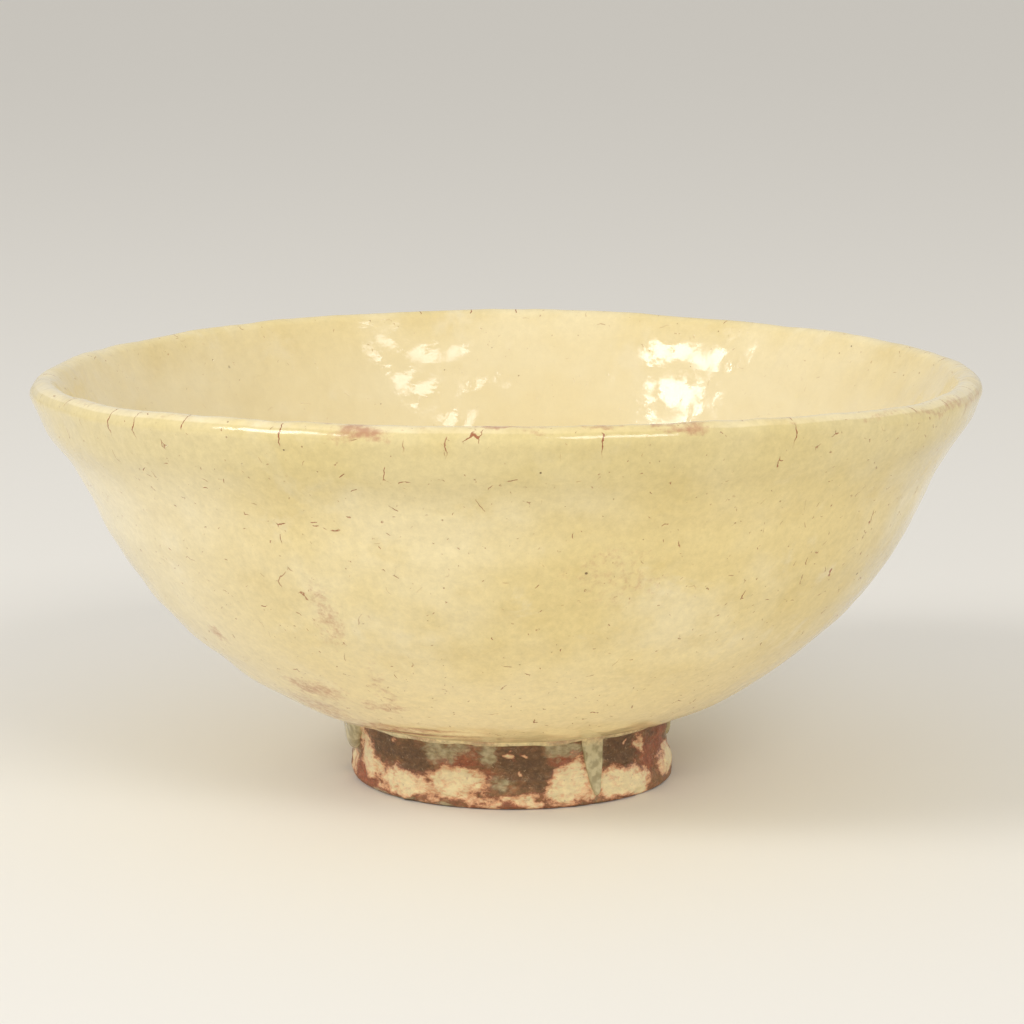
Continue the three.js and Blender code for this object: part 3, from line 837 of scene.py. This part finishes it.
outer_glaze.data.materials.append(glaze)
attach(outer_glaze, "root")
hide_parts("outer_glaze")


# ---------------------------------------------------------------------------------------------
# The inner glaze: the same glaze, poured in and swirled round before the bowl was dipped. It is
# smoother and wetter looking than the outside, rippled over the throwing marks, and pools in the
# shallow well in the floor.
inner_rows = coat[meeting:-1]
inner_bond_skin, _, inner_start = clay_skin(10, 5, 14, 6)
inner_bond_line = set_off(inner_bond_skin, BOND)[inner_start + 2 : -1][::-1]
inner_bond = by_hand(inner_bond_line[:, :1] * all_round, inner_bond_line[:, 1:] * all_round, turns)
inner_points = np.concatenate([inner_bond, inner_rows])
floor_top = coat[-1].mean(axis=0)
hidden = np.zeros((len(inner_bond), ROUND_BOWL))
inner_looks = {label: np.concatenate([hidden, looks[label][meeting:-1]]) for label in looks}
inner_glaze = skin_mesh(
    "inner_glaze_coat", inner_points, False,
    poles=[(0, 0, FOOT_HEIGHT + FLOOR_CLAY + BOND), tuple(floor_top)],
    sharp_rows=(len(inner_bond),), **inner_looks,
)
inner_glaze.data.materials.append(glaze)
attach(inner_glaze, "root")
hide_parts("inner_glaze")


# ---------------------------------------------------------------------------------------------
# The glaze islands: patches of cream glaze that crawled apart on the wiped foot and set as
# separate, slightly raised drops, orange to maroon at their rims where the iron bled in.
ISLAND_THICK = 0.45
ISLAND_STEPS = 44
# Each island: degrees from the front, width in degrees, and its low and high edges as shares of
# the foot's height.
ISLANDS = [
    (-62, 12, 0.14, 0.72), (-41, 22, 0.07, 0.44), (-19, 15, 0.17, 0.5), (22, 16, 0.07, 0.62),
    (46, 22, 0.06, 0.45), (74, 20, 0.13, 0.52), (102, 24, 0.09, 0.54), (133, 14, 0.27, 0.63),
    (163, 21, 0.09, 0.55), (192, 14, 0.11, 0.62), (221, 23, 0.1, 0.46), (256, 18, 0.14, 0.63),
]


def island_glaze():
    """The same glaze set thick over the clay: it takes the foot's colours, but has a soft shine."""
    material, shader = new_material("crawled_cream_glaze")
    colour, film, heights = foot_colour(material)
    dull = node(material, "MapRange", {0: film, 1: 0.25, 2: 0.95, 3: 0.36, 4: 0.22}, **SMOOTH)
    normal = relief_of(material, *[(pattern, 0.4 * stands) for pattern, stands in heights])
    fill_in(shader, {"Base Color": colour, "Roughness": dull, "IOR": 1.52, "Normal": normal})
    return material


def island(name, degrees, wide_degrees, low, high, seed):
    """One drop of glaze on the foot's side, with a frayed outline and a domed face.

    A square grid is pulled into a disc by shortening each side with the other's distance from
    the middle, and every point is pushed a little aside by noise; the face stands off the foot
    by the square root of what is left of the way to the edge. A second face closes it behind.
    """
    u, v = np.meshgrid(*[np.linspace(-1, 1, ISLAND_STEPS + 1)] * 2)
    across, up = u * np.sqrt(1 - v**2 / 2), v * np.sqrt(1 - u**2 / 2)
    reach = np.hypot(across, up)
    turn = np.radians(degrees + across * wide_degrees / 2 * 1.08)
    height = FOOT_HEIGHT * (low + (high - low) * (up * 1.08 + 1) / 2)
    oval = by_hand(foot_side(height), height, turn)
    turn = turn + (0.9 * swells(oval, 4, seed) + 0.5 * swells(oval, 1.9, seed + 1)) / FOOT_RADIUS
    height = height + 0.8 * swells(oval, 3.6, seed + 3) + 0.45 * swells(oval, 1.8, seed + 4)
    height = np.maximum(height, 0.3 + 0.1 * up)
    stand = ISLAND_THICK * np.clip(1 - reach**2.2, 0, 1) ** 0.7
    ground = by_hand(foot_side(height), height, turn)
    lumps = side_relief(turn, height, ground)
    lumps = lumps + 0.12 * swells(ground, 1.8, seed + 2) * np.clip(1 - reach, 0, 1)
    face = by_hand(foot_side(height) + lumps + stand - 0.08, height, turn).reshape(-1, 3)
    back = by_hand(foot_side(height) + lumps - 0.3, height, turn).reshape(-1, 3)
    count = ISLAND_STEPS + 1
    index = np.arange(count * count).reshape(count, count)
    quads = np.stack([index[:-1, :-1], index[:-1, 1:], index[1:, 1:], index[1:, :-1]], axis=-1)
    quads = quads.reshape(-1, 4)
    edge_loop = np.concatenate([index[0, :-1], index[:-1, -1], index[-1, :0:-1], index[:0:-1, 0]])
    after = np.roll(edge_loop, -1)
    wall = np.stack([edge_loop, edge_loop + count * count, after + count * count, after], axis=-1)
    faces = np.concatenate([quads, quads[:, ::-1] + count * count, wall])
    mesh = bpy.data.meshes.new(name)
    mesh.from_pydata((np.concatenate([face, back]) * MM).tolist(), [], faces.tolist())
    mesh.polygons.foreach_set("use_smooth", np.ones(len(faces), bool))
    covers = foot_covers(turn, height, ground, 1.0)
    covers["cream"] = np.maximum(covers["cream"], 1 - reach**3)
    for label, values in covers.items():
        both = np.concatenate([values.ravel()] * 2).astype(np.float32)
        mesh.attributes.new(label, "FLOAT", "POINT").data.foreach_set("value", both)
    piece = bpy.data.objects.new(name, mesh)
    bpy.context.collection.objects.link(piece)
    return piece


crawled = island_glaze()
for number, place in enumerate(ISLANDS, start=1):
    drop_of_glaze = island(f"foot_glaze_patch_{number}", *place, seed=100 + 10 * number)
    drop_of_glaze.data.materials.append(crawled)
    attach(drop_of_glaze, "root")
    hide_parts(f"foot_glaze_island_{number}")


# ---------------------------------------------------------------------------------------------
# The stage: a plain pale floor that runs out past the picture, two soft boxes in front, above left
# and right, a long low one for the wall under the lip, and an even sky to fill the shadows.
FLOOR_HALF = 12.0
FLOOR_PALE = "#ECE9E2"
LIGHT_AWAY = 1.25
# Lamps: the direction of each from the bowl, its width and height in metres, its power in watts.
LIGHTS = [
    ("left_window", (-0.70, -0.40, 0.59), 0.38, 0.38, 5.2),
    ("right_window", (0.37, -0.70, 0.60), 0.56, 0.34, 4.0),
    ("low_fill", (0.1, -0.97, 0.16), 1.5, 0.6, 0.6),
]
SKY = (1.0, 0.98, 0.95, 1.0)
SKY_STRENGTH = 0.67

floor_mesh = bpy.data.meshes.new("floor")
corners = [(x * FLOOR_HALF, y * FLOOR_HALF, 0) for x, y in ((-1, -1), (1, -1), (1, 1), (-1, 1))]
floor_mesh.from_pydata(corners, [], [(0, 1, 2, 3)])
floor = bpy.data.objects.new("floor", floor_mesh)
bpy.context.collection.objects.link(floor)
floor_material, floor_shader = new_material("matt_pale_floor")
fill_in(floor_shader, {"Base Color": linear(FLOOR_PALE), "Roughness": 0.9})
floor_mesh.materials.append(floor_material)

middle = (cad_low + cad_high) / 2
for name, direction, width, height, power in LIGHTS:
    lamp = bpy.data.objects.new(name, bpy.data.lights.new(name, "AREA"))
    lamp.data.shape = "RECTANGLE"
    lamp.data.size, lamp.data.size_y = width, height
    lamp.data.energy = power
    away = type(middle)(direction).normalized()
    lamp.location = middle + away * LIGHT_AWAY
    lamp.rotation_mode = "QUATERNION"
    lamp.rotation_quaternion = away.to_track_quat("Z", "Y")
    bpy.context.collection.objects.link(lamp)

world = bpy.data.worlds.new("even_sky")
world.use_nodes = True
background = next(n for n in world.node_tree.nodes if n.type == "BACKGROUND")
background.inputs["Color"].default_value = SKY
background.inputs["Strength"].default_value = SKY_STRENGTH
bpy.context.scene.world = world
